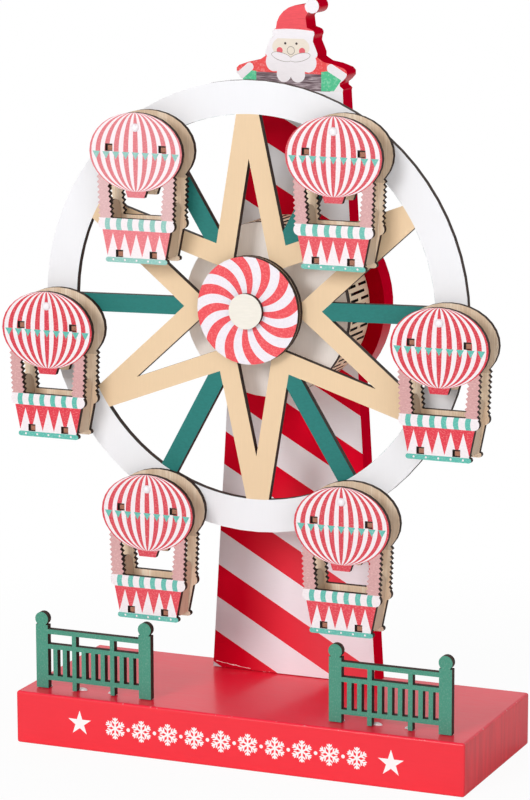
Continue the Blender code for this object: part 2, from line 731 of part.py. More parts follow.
def make_frame(paints):
    """The bedplate with its bearings, the comb's block and the governor's pivots."""
    half = bedplate_width / 2
    low = bedplate_bottom - drum_z
    loops = [[(-half, low), (half, low), (half, bedplate_top), (-half, bedplate_top)],
             circle((0, drum_drop), shaft_radius + gap, 12)]
    loops += [circle(place, screw_radius + gap, 8) for place in screw_places().values()]
    mesh = slab_mesh("movement_frame", loops, bedplate_thickness)
    frame = add_object("movement_frame", mesh, paints["brass"], (0, bedplate_y, drum_z))
    root = bedplate_thickness / 2
    blocks = []

    def add_block(middle, width, top, low_z, high_z):
        blocks.append(box_mesh("block", (middle - width / 2, root, low_z - drum_z),
                               (middle + width / 2, top - bedplate_y, high_z - drum_z)))

    bearing_top = cylinder_y - pivot_radius - gap
    for high in (upper_bearing_z, lower_bearing_z):
        add_block(0, 3 * pivot_radius, bearing_top, high - bearing_thickness, high)
    foot_middle = comb_tip_x() - comb_length + comb_foot / 2
    add_block(foot_middle, comb_foot, cylinder_y - comb_thickness / 2 - gap,
              cylinder_bottom, cylinder_top)
    pivot_top = governor_y + 2 * spindle_radius
    low, high = governor_span()
    add_block(governor_offset, 3 * worm_radius, pivot_top, low - gap - bearing_thickness, low - gap)
    add_block(governor_offset, 3 * worm_radius, pivot_top, high + gap, high + gap + bearing_thickness)
    join_with(frame, blocks)


def comb_tip_x():
    return -(cylinder_radius + cylinder_pin + gap)


def governor_span():
    low = cylinder_bottom + gap
    return low, low + governor_length


def make_comb(paints):
    """The comb lies left of the cylinder, its tines pointing at the cylinder's pins."""
    tip, foot = comb_tip_x(), comb_tip_x() - comb_length
    root = foot + comb_foot
    pitch = cylinder_length / comb_tines
    edge = [(foot, cylinder_bottom), (tip, cylinder_bottom)]
    for k in range(1, comb_tines):
        low, high = (cylinder_bottom + k * pitch + side * comb_slot / 2 for side in (-1, 1))
        edge += [(tip, low), (root, low), (root, high), (tip, high)]
    edge += [(tip, cylinder_top), (foot, cylinder_top)]
    mesh = slab_mesh("comb", [edge], comb_thickness)
    add_object("comb", mesh, paints["steel"], (0, cylinder_y - comb_thickness / 2, 0))


def make_cylinder(paints):
    """The pinned cylinder stands under the barrel, with its pinion against the gear rim."""
    rows = 10
    pinion_low = bearing_thickness + 2 * running_gap
    pinion_high = pinion_low + pinion_width
    stub = -cylinder_length - bearing_thickness - running_gap
    profile = [(0, stub), (pivot_radius, stub), (pivot_radius, -cylinder_length)]
    profile += [(cylinder_radius, -cylinder_length * (1 - i / rows)) for i in range(rows + 1)]
    profile += [(pivot_radius, 0), (pivot_radius, pinion_low), (pinion_radius, pinion_low),
                (pinion_radius, pinion_high), (0, pinion_high)]
    mesh = turned_mesh("music_cylinder", profile, 20, "Z")
    bm = bmesh.new()
    bm.from_mesh(mesh)

    def place(face):
        middle = face.calc_center_median()
        return round(middle.z, 5), round(math.atan2(middle.y, middle.x), 3)

    skin = [f for f in bm.faces if abs(f.normal.z) < 0.1
            and f.calc_center_median().xy.length > 0.95 * cylinder_radius]
    chosen = sorted(skin, key=place)[::11]
    for face in bmesh.ops.extrude_discrete_faces(bm, faces=chosen)["faces"]:
        middle = face.calc_center_median()
        outward = Vector((middle.x, middle.y, 0)).normalized() * cylinder_pin
        bmesh.ops.translate(bm, vec=outward, verts=face.verts)
        bmesh.ops.scale(bm, vec=(0.4, 0.4, 0.4), verts=face.verts,
                        space=Matrix.Translation(-(middle + outward)))
    bm.to_mesh(mesh)
    bm.free()
    add_object("music_cylinder", mesh, paints["brass"], (0, cylinder_y, cylinder_top))


def make_governor(paints):
    """A worm on a thin spindle, with an air paddle above it."""
    low, high = governor_span()
    worm_top = 0.4 * governor_length
    profile = [(0, 0), (spindle_radius, 0), (spindle_radius, worm_top / 4), (worm_radius, worm_top / 4),
               (worm_radius, worm_top), (spindle_radius, worm_top),
               (spindle_radius, governor_length), (0, governor_length)]
    mesh = turned_mesh("governor", profile, 10, "Z")
    governor = add_object("governor", mesh, paints["steel"], (governor_offset, governor_y, low))
    paddle_low = worm_top + gap
    paddle = box_mesh("paddle", (-paddle_width / 2, -paddle_thickness / 2, paddle_low),
                      (paddle_width / 2, paddle_thickness / 2, governor_length - worm_top / 4))
    join_with(governor, [paddle])


def make_screws(paints):
    tip = -screw_bite
    head = gap + bedplate_thickness + gap
    profile = [(0, tip), (screw_radius, tip), (screw_radius, head), (screw_head_radius, head),
               (screw_head_radius, head + screw_head_height), (0, head + screw_head_height)]
    mesh = turned_mesh("movement_screw", profile, 8)
    for name, (u, v) in screw_places().items():
        add_object(name, mesh, paints["steel"], (u, drum_front_y + thick_sheet, drum_z + v))


def build():
    clear_scene()
    paints = make_materials()
    make_base(paints)
    make_fences(paints)
    make_column(paints)
    make_wheel(paints)
    make_gondolas(paints)
    make_drum(paints)
    make_frame(paints)
    make_comb(paints)
    make_cylinder(paints)
    make_governor(paints)
    make_screws(paints)


build()
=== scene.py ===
import math
import bmesh
import bpy
from mathutils import Matrix, Vector


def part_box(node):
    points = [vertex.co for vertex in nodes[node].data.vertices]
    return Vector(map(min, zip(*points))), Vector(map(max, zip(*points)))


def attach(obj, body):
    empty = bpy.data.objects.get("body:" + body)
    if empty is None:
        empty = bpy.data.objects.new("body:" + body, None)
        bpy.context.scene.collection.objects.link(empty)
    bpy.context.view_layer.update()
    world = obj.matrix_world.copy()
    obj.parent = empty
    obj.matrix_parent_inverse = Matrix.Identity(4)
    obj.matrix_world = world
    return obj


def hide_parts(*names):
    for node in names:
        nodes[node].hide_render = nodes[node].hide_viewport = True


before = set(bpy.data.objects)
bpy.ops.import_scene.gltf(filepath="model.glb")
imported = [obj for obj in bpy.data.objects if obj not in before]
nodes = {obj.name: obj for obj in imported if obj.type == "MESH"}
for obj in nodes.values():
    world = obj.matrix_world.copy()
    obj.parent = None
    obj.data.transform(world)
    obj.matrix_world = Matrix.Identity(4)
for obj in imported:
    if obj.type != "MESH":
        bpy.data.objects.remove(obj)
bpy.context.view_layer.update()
mm = 0.001
print("frame loaded:", len(nodes), "nodes")


# Finishes

def rgb(*parts):
    # a colour as a screen shows it, 0 to 255, made into the linear one that shaders work in
    shares = [part / 255 for part in parts]
    linear = [share / 12.92 if share <= 0.04045 else ((share + 0.055) / 1.055) ** 2.4 for share in shares]
    return (*linear, 1.0)


class Signal:
    # a value on its way through a finish's nodes, which Python's operators work on
    def __init__(self, finish, socket):
        self.finish = finish
        self.socket = socket

    def __add__(self, other):
        return self.finish.math("ADD", self, other)

    def __sub__(self, other):
        return self.finish.math("SUBTRACT", self, other)

    def __mul__(self, other):
        return self.finish.math("MULTIPLY", self, other)

    def __truediv__(self, other):
        return self.finish.math("DIVIDE", self, other)

    def __mod__(self, other):
        return self.finish.math("FLOORED_MODULO", self, other)

    def __pow__(self, other):
        return self.finish.math("POWER", self, other)

    def __radd__(self, other):
        return self.finish.math("ADD", other, self)

    def __rsub__(self, other):
        return self.finish.math("SUBTRACT", other, self)

    def __rmul__(self, other):
        return self.finish.math("MULTIPLY", other, self)

    def __rtruediv__(self, other):
        return self.finish.math("DIVIDE", other, self)

    def __abs__(self):
        return self.finish.math("ABSOLUTE", self)

    def __lt__(self, other):
        return self.finish.math("LESS_THAN", self, other)

    def __gt__(self, other):
        return self.finish.math("GREATER_THAN", self, other)

    def __and__(self, other):
        return self.finish.math("MULTIPLY", self, other)

    def __or__(self, other):
        return self.finish.math("MAXIMUM", self, other)


class Finish:
    # one material: masks and patterns in millimetres, laid over each other like coats of paint
    def __init__(self, name, roughness=0.5, metallic=0.0, coat=0.0, coatRoughness=0.1, specular=0.3):
        self.material = bpy.data.materials.new(name)
        self.material.use_nodes = True
        self.tree = self.material.node_tree
        self.shader = self.tree.nodes["Principled BSDF"]
        for socket, value in (("Roughness", roughness), ("Metallic", metallic), ("Coat Weight", coat),
                              ("Coat Roughness", coatRoughness), ("Specular IOR Level", specular)):
            self.shader.inputs[socket].default_value = value
        spot = self.node("ShaderNodeTexCoord").outputs
        scaled = self.node("ShaderNodeVectorMath", {"operation": "SCALE"},
                           {"Vector": spot["Object"], "Scale": 1 / mm})
        self.place = Signal(self, scaled.outputs[0])
        self.x, self.y, self.z = self.split(scaled.outputs[0])
        self.facingX, self.facingY, self.facingZ = self.split(spot["Normal"])

    def node(self, kind, settings=None, inputs=None):
        made = self.tree.nodes.new(kind)
        for key, value in (settings or {}).items():
            if key == "stops":
                while len(made.color_ramp.elements) < len(value):
                    made.color_ramp.elements.new(0.5)
                for element, (position, colour) in zip(made.color_ramp.elements, value):
                    element.position = position
                    element.color = colour
            else:
                setattr(made, key, value)
        for key, value in (inputs or {}).items():
            if isinstance(value, Signal):
                value = value.socket
            if isinstance(value, bpy.types.NodeSocket):
                self.tree.links.new(value, made.inputs[key])
            else:
                made.inputs[key].default_value = value
        return made

    def split(self, socket):
        parts = self.node("ShaderNodeSeparateXYZ", {}, {0: socket}).outputs
        return [Signal(self, parts[k]) for k in range(3)]

    def math(self, operation, *values):
        made = self.node("ShaderNodeMath", {"operation": operation}, dict(enumerate(values)))
        return Signal(self, made.outputs[0])

    def clamp(self, value):
        return self.math("MINIMUM", self.math("MAXIMUM", value, 0), 1)

    def rise(self, value, start, end):
        # climbs from 0 at start to 1 at end
        return self.clamp((value - start) / (end - start))

    def reach(self, dx, dz):
        return (dx ** 2 + dz ** 2) ** 0.5

    def fromNearest(self, value, pitch):
        # the distance to the nearest of a row of lines, one of them at 0
        return abs((value + pitch / 2) % pitch - pitch / 2)

    def arms(self, dx, dz, first, count):
        # how far along and beside the nearest of some evenly spread arms; first is one arm's angle in degrees
        turn = self.math("ARCTAN2", dz, dx) - math.radians(first)
        beside = self.fromNearest(turn, math.tau / count)
        reach = self.reach(dx, dz)
        return reach * self.math("COSINE", beside), reach * self.math("SINE", beside)

    def anyOf(self, masks):
        whole = masks[0]
        for mask in masks[1:]:
            whole = whole | mask
        return whole

    def noise(self, scale, stretch=(1, 1, 1), detail=3.0, shift=(0, 0, 0)):
        # scale counts the patches to the millimetre
        where = self.node("ShaderNodeMapping", {},
                          {"Vector": self.place, "Location": shift, "Scale": stretch})
        made = self.node("ShaderNodeTexNoise", {},
                         {"Vector": where.outputs[0], "Scale": scale, "Detail": detail})
        return Signal(self, made.outputs[0])

    def ramp(self, value, stops):
        made = self.node("ShaderNodeValToRGB", {"stops": stops}, {0: value})
        return Signal(self, made.outputs[0])

    def layer(self, under, mask, over):
        made = self.node("ShaderNodeMix", {"data_type": "RGBA"}, {0: mask, 6: under, 7: over})
        return Signal(self, made.outputs[2])

    def shade(self, colour, amount):
        colour = colour if isinstance(colour, Signal) else colour[:3]
        made = self.node("ShaderNodeVectorMath", {"operation": "SCALE"}, {0: colour, "Scale": amount})
        return Signal(self, made.outputs[0])

    def relief(self, height, distance, strength):
        made = self.node("ShaderNodeBump", {},
                         {"Height": height, "Distance": distance * mm, "Strength": strength})
        self.tree.links.new(made.outputs[0], self.shader.inputs["Normal"])

    def feed(self, socket, value):
        self.tree.links.new(value.socket, self.shader.inputs[socket])

    # masks on the plane of the boards, x across and z up

    def disc(self, x, z, across, up=None, turn=0.0):
        cosine, sine = math.cos(math.radians(turn)), math.sin(math.radians(turn))
        u = (self.x - x) * cosine + (self.z - z) * sine
        v = (self.z - z) * cosine - (self.x - x) * sine
        return (u / across) ** 2 + (v / (up or across)) ** 2 < 1

    def box(self, left, low, right, high):
        beside = abs(self.x - (left + right) / 2) < (right - left) / 2
        level = abs(self.z - (low + high) / 2) < (high - low) / 2
        return beside & level

    def bar(self, start, end, radius):
        run, rise = end[0] - start[0], end[1] - start[1]
        dx, dz = self.x - start[0], self.z - start[1]
        along = self.node("ShaderNodeMath", {"operation": "MULTIPLY", "use_clamp": True},
                          {0: dx * run + dz * rise, 1: 1 / (run * run + rise * rise)})
        along = Signal(self, along.outputs[0])
        return (dx - along * run) ** 2 + (dz - along * rise) ** 2 < radius * radius

    def outline(self, corners):
        # a convex shape, its corners going round to the left
        mask = None
        for (x0, z0), (x1, z1) in zip(corners, corners[1:] + corners[:1]):
            inside = (self.x - x0) * (z0 - z1) + (self.z - z0) * (x1 - x0) > 0
            mask = inside if mask is None else mask & inside
        return mask


wood = {
    "pale": rgb(234, 214, 190),
    "mid": rgb(222, 199, 173),
    "dark": rgb(206, 179, 152),
    "burnt": rgb(26, 18, 16),
    "scorched": rgb(86, 60, 48),
    "bandScale": 0.16, "fibreScale": 2.2, "bandShare": 0.6,
    "fibreDepth": 0.03,                        # mm
    "fibreRough": 0.12, "edgeRough": 0.1,      # what fibres and charred edges add to the roughness
    "underPrint": rgb(255, 244, 236),
    "thinning": 5, "mottling": 1.5,            # how the grain wears through the print
}


def stretched(along, share):
    # draws a noise out along one axis
    return tuple(share if axis == along else 1 for axis in "xyz")


def bareWood(f, along, pale, shift):
    # plywood's face veneer: broad bands with fine fibres along the grain
    bands = f.noise(wood["bandScale"], stretched(along, 0.10), shift=(shift, shift, 0))
    fibres = f.noise(wood["fibreScale"], stretched(along, 0.05), 2.0, (0, shift, shift))
    tone = bands * wood["bandShare"] + fibres * (1 - wood["bandShare"])
    return f.ramp(tone, [(0.3, wood["dark"]), (0.5, wood["mid"]), (0.68, pale)]), fibres


def burntEdge(f, shift):
    # laser cut edge: charred, a little lighter where the middle ply shows
    soot = f.noise(0.5, (1, 4, 1), shift=(shift, 0, 0))
    return f.ramp(soot, [(0.38, wood["burnt"]), (0.78, wood["scorched"])])


def speckle(f, colour, strength, stretch, scale):
    # the print lets a little of the wood's grain through
    grain = f.noise(scale, stretch) - 0.5
    thin = f.math("MAXIMUM", grain * strength * wood["thinning"], 0)
    mottled = f.shade(colour, 1 + grain * strength * wood["mottling"])
    return f.layer(mottled, thin, wood["underPrint"])


def boardFinish(name, printed, along, roughness, shift=0.0, backPale=wood["pale"]):
    # a sheet cut from plywood: print on the front face, bare veneer behind, charred edges
    f = Finish(name, roughness=roughness)
    bare, fibres = bareWood(f, along, backPale, shift)
    front = f.facingY < -0.5
    edge = abs(f.facingY) < 0.5
    colour = f.layer(bare, front, printed(f, bare))
    colour = f.layer(colour, edge, burntEdge(f, shift))
    f.feed("Base Color", colour)
    f.feed("Roughness", roughness + wood["fibreRough"] * fibres + wood["edgeRough"] * edge)
    f.relief(fibres, wood["fibreDepth"], 0.35)
    return f.material


def dress(names, material):
    for name in names:
        for spot in nodes[name].material_slots:
            spot.material = material


def gather(bm, name, material, body, replaced=()):
    # turns a finished bmesh into a piece that rides on a body
    mesh = bpy.data.meshes.new(name)
    bm.to_mesh(mesh)
    bm.free()
    mesh.materials.append(material)
    piece = bpy.data.objects.new(name, mesh)
    bpy.context.scene.collection.objects.link(piece)
    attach(piece, body)
    if replaced:
        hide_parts(*replaced)
    return piece


def smooth(piece, angle):
    for face in piece.data.polygons:
        face.use_smooth = True
    piece.data.set_sharp_from_angle(angle=math.radians(angle))
    weights = piece.modifiers.new("evenShading", "WEIGHTED_NORMAL")
    weights.keep_sharp = True


def corners(name):
    return [Vector(corner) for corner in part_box(name)]


def cadCopy(name, weld, flatWithin):
    # a node's mesh with its loose triangles joined up again into whole faces
    bm = bmesh.new()
    bm.from_mesh(nodes[name].data)
    bmesh.ops.remove_doubles(bm, verts=bm.verts[:], dist=weld)
    bmesh.ops.dissolve_limit(bm, angle_limit=math.radians(flatWithin), verts=bm.verts[:], edges=bm.edges[:])
    return bm


def spun(points, centre, steps):
    # a line of points turned all the way round an axis that runs from front to back
    bm = bmesh.new()
    verts = [bm.verts.new(point) for point in points]
    line = [bm.edges.new(pair) for pair in zip(verts, verts[1:])]
    bmesh.ops.spin(bm, geom=verts + line, cent=centre, axis=(0, 1, 0), angle=math.tau, steps=steps,
                   use_merge=True)
    return bm


def roundEdges(bm, edges, width, steps):
    bmesh.ops.bevel(bm, geom=edges, offset=width, offset_type="OFFSET", segments=steps, profile=0.5,
                    affect="EDGES", clamp_overlap=True, material=-1)


# Base

base = {
    "edge": 1.1 * mm, "edgeSteps": 4,
    "front": rgb(240, 46, 60),
    # the top is a brighter, deeper red than the front: painted sheen on the gloss
    "top": rgb(252, 32, 62),
    "print": rgb(250, 246, 246),
    "worn": rgb(236, 120, 128),
    "gloss": 0.35,
    "chipsFrom": 0.66,                                    # raise it for fewer chips on the rounded edges
    "stars": [(-67.4, 11.6, 5.5), (71.7, 10.7, 5.8)],     # x, z and radius, mm
    "rowStart": -51.0, "rowPitch": 12.0, "rowCount": 10, "rowHeight": 11.2,
    "flake": 4.6, "armHalf": 0.38, "twigHalf": 0.42, "twigSlope": 0.8,
    "twigs": [(0.42, 1.5), (0.72, 1.1)],                  # start as a share of the arm, and length in mm
    "dot": 0.8,
}


def starMask(f, x, z, radius):
    # five points, whose sides stand 18 degrees off the arm
    along, beside = f.arms(f.x - x, f.z - z, 90, 5)
    slant = math.radians(18)
    return beside * math.cos(slant) + along * math.sin(slant) < radius * math.sin(slant)


def flakeMask(f, dx, dz):
    # six arms, each with two pairs of side twigs
    along, beside = f.arms(dx, dz, 90, 6)
    mask = (beside < base["armHalf"]) & (along < base["flake"])
    for start, length in base["twigs"]:
        slanted = along - start * base["flake"] - beside * base["twigSlope"]
        mask = mask | ((abs(slanted) < base["twigHalf"]) & (beside < length))
    return mask


def basePrint(f):
    # a row of flakes with dots between them, and a star near each end
    start, pitch, count = base["rowStart"], base["rowPitch"], base["rowCount"]
    fromMiddle = abs(f.x - (start + pitch * (count - 1) / 2))
    level = f.z - base["rowHeight"]
    flakes = flakeMask(f, f.fromNearest(f.x - start, pitch), level) & (fromMiddle < pitch * count / 2)
    between = f.fromNearest(f.x - start - pitch / 2, pitch)
    dots = (f.reach(between, level) < base["dot"]) & (fromMiddle < pitch * (count - 1) / 2)
    return f.anyOf([starMask(f, *star) for star in base["stars"]] + [flakes, dots])


def basePaint():
    f = Finish("basePaint", roughness=0.42, coat=base["gloss"], coatRoughness=0.16, specular=0.2)
    cloud = f.noise(0.03)
    brush = f.noise(0.9, (0.12, 1, 1))
    rings = f.noise(0.3, (1, 1, 0.1), shift=(0, 4, 0))    # the end grain shows through
    ends = abs(f.facingX) > 0.5
    # the top takes the brighter red, as painted sheen
    colour = f.layer(base["front"], f.facingZ > 0.5, base["top"])
    colour = f.shade(colour, 0.93 + cloud * 0.08 + brush * 0.06 + ends * (rings - 0.5) * 0.5)
    printed = basePrint(f) & (f.facingY < -0.9)
    colour = f.layer(colour, printed, base["print"])
    rounded = abs(abs(f.facingZ) - 0.7) < 0.22
    chips = f.noise(0.55, detail=4.0, shift=(3, 7, 1)) > base["chipsFrom"]
    colour = f.layer(colour, rounded & chips, base["worn"])
    f.feed("Base Color", colour)
    f.feed("Roughness", 0.36 + brush * 0.14 + printed * 0.1)
    f.relief(brush + cloud * 2, 0.05, 0.25)
    return f.material


low, high = corners("base")
bm = bmesh.new()
bmesh.ops.create_cube(bm, size=1.0)
bmesh.ops.scale(bm, vec=high - low, verts=bm.verts[:])
bmesh.ops.translate(bm, vec=(high + low) / 2, verts=bm.verts[:])
roundEdges(bm, bm.edges[:], base["edge"], base["edgeSteps"])
baseBlock = gather(bm, "baseBlock", basePaint(), "frame", ["base"])
smooth(baseBlock, 35)
print("base done")


# Column, with the figure that is cut from the same board

column = {
    "edge": 0.45 * mm, "edgeSteps": 2,
    "weld": 0.001 * mm, "flatWithin": 0.2, "sharpFrom": 60,             # angles in degrees
    "red": rgb(232, 12, 46),
    "white": rgb(247, 249, 255),
    "side": rgb(226, 0, 42),
    # the bulge's plain red beyond the print, darkened as painted shade from the drum and wheel
    "rim": rgb(184, 0, 24),
    "back": rgb(196, 8, 38),
    "chip": rgb(244, 236, 236),
    "slope": 0.56, "pitch": 30.15, "width": 14.65,                      # stripes, mm
    "first": (3.0, 33.7),                                               # a point on the lowest one's foot
    "stretch": 0.013, "stretchFrom": 150.0,                             # closer together near the top
    "footHalf": 37.5, "taper": 0.06157, "middle": 2.0, "foot": 22.5,
    "plainAbove": 264.5,                                                # no stripes just under the figure
    "paintedShadeLeft": rgb(204, 204, 204), "paintedShadeAcross": (-36.0, 0.0),           # painted shade, darker to the left, from x to x
    "paintedShadowTop": rgb(222, 222, 222), "paintedShadowUp": (150.0, 240.0),              # and painted shadow near the top, from z to z
    # painted sheen: white mixed into the print low on the right, from x to x and from z down to z
    "pale": 0.065, "sheenAcross": (-21.6, 14.4), "sheenDown": (112.0, 82.0),
    "lacquer": 0.75, "lacquerSlope": 2.5,                               # the thick coat on undersides
    "chipHeight": 2.2, "chipsFrom": 0.42, "chipsTo": 8.0,               # along the foot
    "scratch": ((-34.0, 25.36), (-18.0, 23.44)), "scratchHalf": 0.11, "scratchStray": 1.2,
}
figure = {
    "cap": rgb(236, 92, 100),
    "white": rgb(240, 237, 242),
    "skin": rgb(234, 225, 212),
    "cheek": rgb(228, 104, 114),
    "sleeve": rgb(238, 88, 90), "sleeveThin": rgb(250, 176, 176),
    "mitten": rgb(92, 200, 152), "mittenThin": rgb(176, 230, 206),
    "planks": [(0.4, rgb(104, 88, 94)), (0.55, rgb(146, 131, 139)), (0.68, rgb(206, 194, 200))],
    "line": rgb(150, 140, 136),
    "eye": rgb(70, 60, 60),
    "thinning": 2.6,                            # how far the print has worn thin in patches
    "middle": 1.1, "foot": 272.6,               # places and sizes are in mm
    "plankTop": 280.4, "plankHalf": 17.5,
    "sleeveLow": 279.7, "sleeveHigh": 288.0, "sleeveSlope": 0.006,
    "mittens": [[(-21.6, 276.2), (-14.4, 276.2), (-14.4, 280.1), (-17.2, 280.3)],
                [(14.6, 272.7), (20.2, 272.9), (23.4, 277.4), (19.2, 281.4), (14.6, 280.6)]],
    "cuffs": [((-22.2, 277.6), (-17.4, 281.7), 1.75), ((18.9, 282.2), (24.6, 278.9), 1.8)],
    "hair": [(1.4, 289.4, 12.2, 6.6), (-6.4, 284.2, 3.7, 4.0), (8.8, 284.2, 3.7, 4.0)],
    "beard": (-5.1, 279.0, 7.3, 288.0), "beardTips": (3.1, 279.1, 3.2),
    "face": (290.4, 8.3, 4.9),
    "cheeks": (5.0, 288.9, 1.35),
    "moustache": (4.1, 286.3, 4.5, 1.55, 14), "moustacheRim": (4.1, 286.3, 4.7, 1.75, 14),
    "nose": (289.0, 1.5), "noseRim": (289.0, 1.75),
    "eyes": (2.5, 291.9, 0.5),
    "brim": 293.9, "brimSlope": 0.008,
    "capFoot": 297.9, "capCurve": 0.007,
    "bobble": (10.6, 307.4, 3.3),
}


def stripePrint(f):
    climb = f.z + column["stretch"] * f.math("MAXIMUM", f.z - column["stretchFrom"], 0)
    slant = climb + column["slope"] * (f.x - column["first"][0]) - column["first"][1]
    stripes = f.layer(column["white"], slant % column["pitch"] < column["width"], column["red"])
    straight = column["footHalf"] - column["taper"] * (f.z - column["foot"])
    # the bulge outside the straight column is plain red, darkened as painted shade
    stripes = f.layer(stripes, abs(f.x - column["middle"]) > straight, column["rim"])
    # painted shade on the left and painted shadow near the top, painted sheen low on the right
    paintedShade = f.layer(column["paintedShadeLeft"], f.rise(f.x, *column["paintedShadeAcross"]), rgb(255, 255, 255))
    paintedShade = f.layer(paintedShade, f.rise(f.z, *column["paintedShadowUp"]), column["paintedShadowTop"])
    shadedStripes = f.node("ShaderNodeVectorMath", {"operation": "MULTIPLY"}, {0: stripes, 1: paintedShade})
    pale = f.rise(f.x, *column["sheenAcross"]) * f.rise(f.z, *column["sheenDown"]) * column["pale"]
    stripes = f.layer(Signal(f, shadedStripes.outputs[0]), pale, column["white"])
    return f.layer(stripes, f.z > column["plainAbove"], column["white"])


def twoDiscs(f, beside, z, across, up=None, turn=0.0):
    # mirrored about the figure's middle
    mid = figure["middle"]
    return f.anyOf([f.disc(mid + side * beside, z, across, up, side * turn) for side in (-1, 1)])


def figurePrint(f, under):
    mid = figure["middle"]
    bust = f.z > figure["foot"]
    streaks = f.noise(1.5, (0.14, 1, 2.4), shift=(5, 0, 2))
    thin = f.clamp((f.noise(1.3, detail=4.0, shift=(2, 0, 6)) - 0.5) * figure["thinning"])
    planks = bust & (f.z < figure["plankTop"]) & (abs(f.x - mid) < figure["plankHalf"])
    sleeves = (f.z > figure["sleeveLow"] - figure["sleeveSlope"] * f.x) & (f.z < figure["sleeveHigh"])
    hair = [f.disc(*oval) for oval in figure["hair"]]
    beard = [f.box(*figure["beard"]), twoDiscs(f, *figure["beardTips"])]
    coats = [
        (bust, figure["white"]),
        (planks, f.ramp(streaks, figure["planks"])),
        (sleeves, f.layer(figure["sleeve"], thin, figure["sleeveThin"])),
        (f.anyOf([f.outline(shape) for shape in figure["mittens"]]),
         f.layer(figure["mitten"], thin, figure["mittenThin"])),
        (f.anyOf([f.bar(*cuff) for cuff in figure["cuffs"]]), figure["white"]),
        (f.anyOf(hair + beard), figure["white"]),
        (f.disc(mid, *figure["face"]), figure["skin"]),
        (twoDiscs(f, *figure["cheeks"]), figure["cheek"]),
        (twoDiscs(f, *figure["moustacheRim"]), figure["line"]),
        (twoDiscs(f, *figure["moustache"]), figure["white"]),
        (f.disc(mid, *figure["noseRim"]), figure["line"]),
        (f.disc(mid, *figure["nose"]), figure["skin"]),
        (twoDiscs(f, *figure["eyes"]), figure["eye"]),
        (f.z > figure["brim"] + figure["brimSlope"] * (f.x - mid), figure["white"]),
        (f.z > figure["capFoot"] - figure["capCurve"] * (f.x - mid) ** 2,
         f.shade(figure["cap"], 1.02 - 0.5 * abs(streaks - 0.45))),
        (f.disc(*figure["bobble"]), figure["white"]),
    ]
    colour = under
    for mask, coat in coats:
        colour = f.layer(colour, mask, coat)
    return colour, bust


def columnWear(f):
    # chips along the foot, and one scratch above them
    scuff = f.noise(0.7, (0.5, 1, 1.4), 5.0, (2, 0, 4))
    chips = f.z - column["foot"] < column["chipHeight"] * (scuff - column["chipsFrom"])
    (x0, z0), (x1, z1) = column["scratch"]
    line = z0 + (f.x - x0) * ((z1 - z0) / (x1 - x0))
    scratch = abs(f.z - line + (scuff - 0.5) * column["scratchStray"]) < column["scratchHalf"]
    return (chips & (f.x < column["chipsTo"])) | (scratch & (f.x > x0) & (f.x < x1))


def columnPaint():
    f = Finish("columnPaint", roughness=0.35, coatRoughness=0.22, specular=0.0)
    cloud = f.noise(0.05, detail=2.0)
    grain = f.noise(2.4, (0.1, 1, 1))
    brush = f.noise(1.1, (1, 1, 0.14))
    printed, bust = figurePrint(f, stripePrint(f))
    printed = f.shade(printed, 1.02 - 0.06 * grain + bust * (0.06 - 0.2 * abs(grain - 0.5)))
    printed = f.layer(printed, columnWear(f), column["chip"])
    front = f.facingY < -0.6
    colour = f.layer(f.shade(column["side"], 0.86 + brush * 0.28), front, printed)
    colour = f.layer(colour, f.facingY > 0.6, f.shade(column["back"], 0.9 + brush * 0.2))
    f.feed("Base Color", colour)
    f.feed("Roughness", 0.3 + 0.1 * grain + 0.12 * (bust & front))
    # the lacquer ran down and lies thicker on the undersides of the board's edge
    undersides = f.clamp(f.facingZ * -column["lacquerSlope"]) * (1 - front)
    f.feed("Coat Weight", undersides * column["lacquer"])
    f.relief(brush + cloud, 0.06, 0.25)
    return f.material


bm = cadCopy("column", column["weld"], column["flatWithin"])
limit = math.radians(column["sharpFrom"])
sharp = [edge for edge in bm.edges if edge.is_manifold and edge.calc_face_angle() > limit]
roundEdges(bm, sharp, column["edge"], column["edgeSteps"])
columnBoard = gather(bm, "columnBoard", columnPaint(), "frame", ["column"])
smooth(columnBoard, 40)
print("column done")


# Wheel

wheel = {
    "axisZ": 187.132,
    "turn": 1.4,                            # degrees, how far the sheet stands turned at rest
    "ringInner": 79.5,
    "arms": 6, "firstArm": 30,
    "tipHalf": 5.1, "flare": 0.1917,        # half an arm's width at the ring, and how it widens inwards
    "ring": rgb(238, 238, 241),
    "star": rgb(232, 203, 166),
    "spoke": rgb(32, 118, 112),
}


def wheelPrint(f, bare):
    dx, dz = f.x, f.z - wheel["axisZ"]
    along, beside = f.arms(dx, dz, wheel["firstArm"] + wheel["turn"], wheel["arms"])
    star = beside < wheel["tipHalf"] + wheel["flare"] * (wheel["ringInner"] - along)
    veneer = f.noise(1.6, (1, 1, 0.06))
    tan = f.shade(wheel["star"], 0.96 + 0.07 * veneer)
    spoke = f.shade(wheel["spoke"], 0.82 + 0.36 * f.noise(1.3, (0.5, 1, 1)))
    ring = f.shade(wheel["ring"], 0.985 + 0.03 * veneer)
    return f.layer(f.layer(spoke, star, tan), f.reach(dx, dz) > wheel["ringInner"], ring)


dress(["wheel"], boardFinish("wheelPrint", wheelPrint, "x", 0.5))

hub = {
    "radius": 22.2, "armStart": 0.33,                     # as a share of the radius
    "arms": 12, "armTurn": -6.4, "swirl": 19.0,           # degrees
    "armHalf": 7.0, "armGrowth": 0.7,
    "red": rgb(233, 78, 86),
    "white": rgb(236, 230, 237),
    "cream": rgb(234, 229, 218),
}


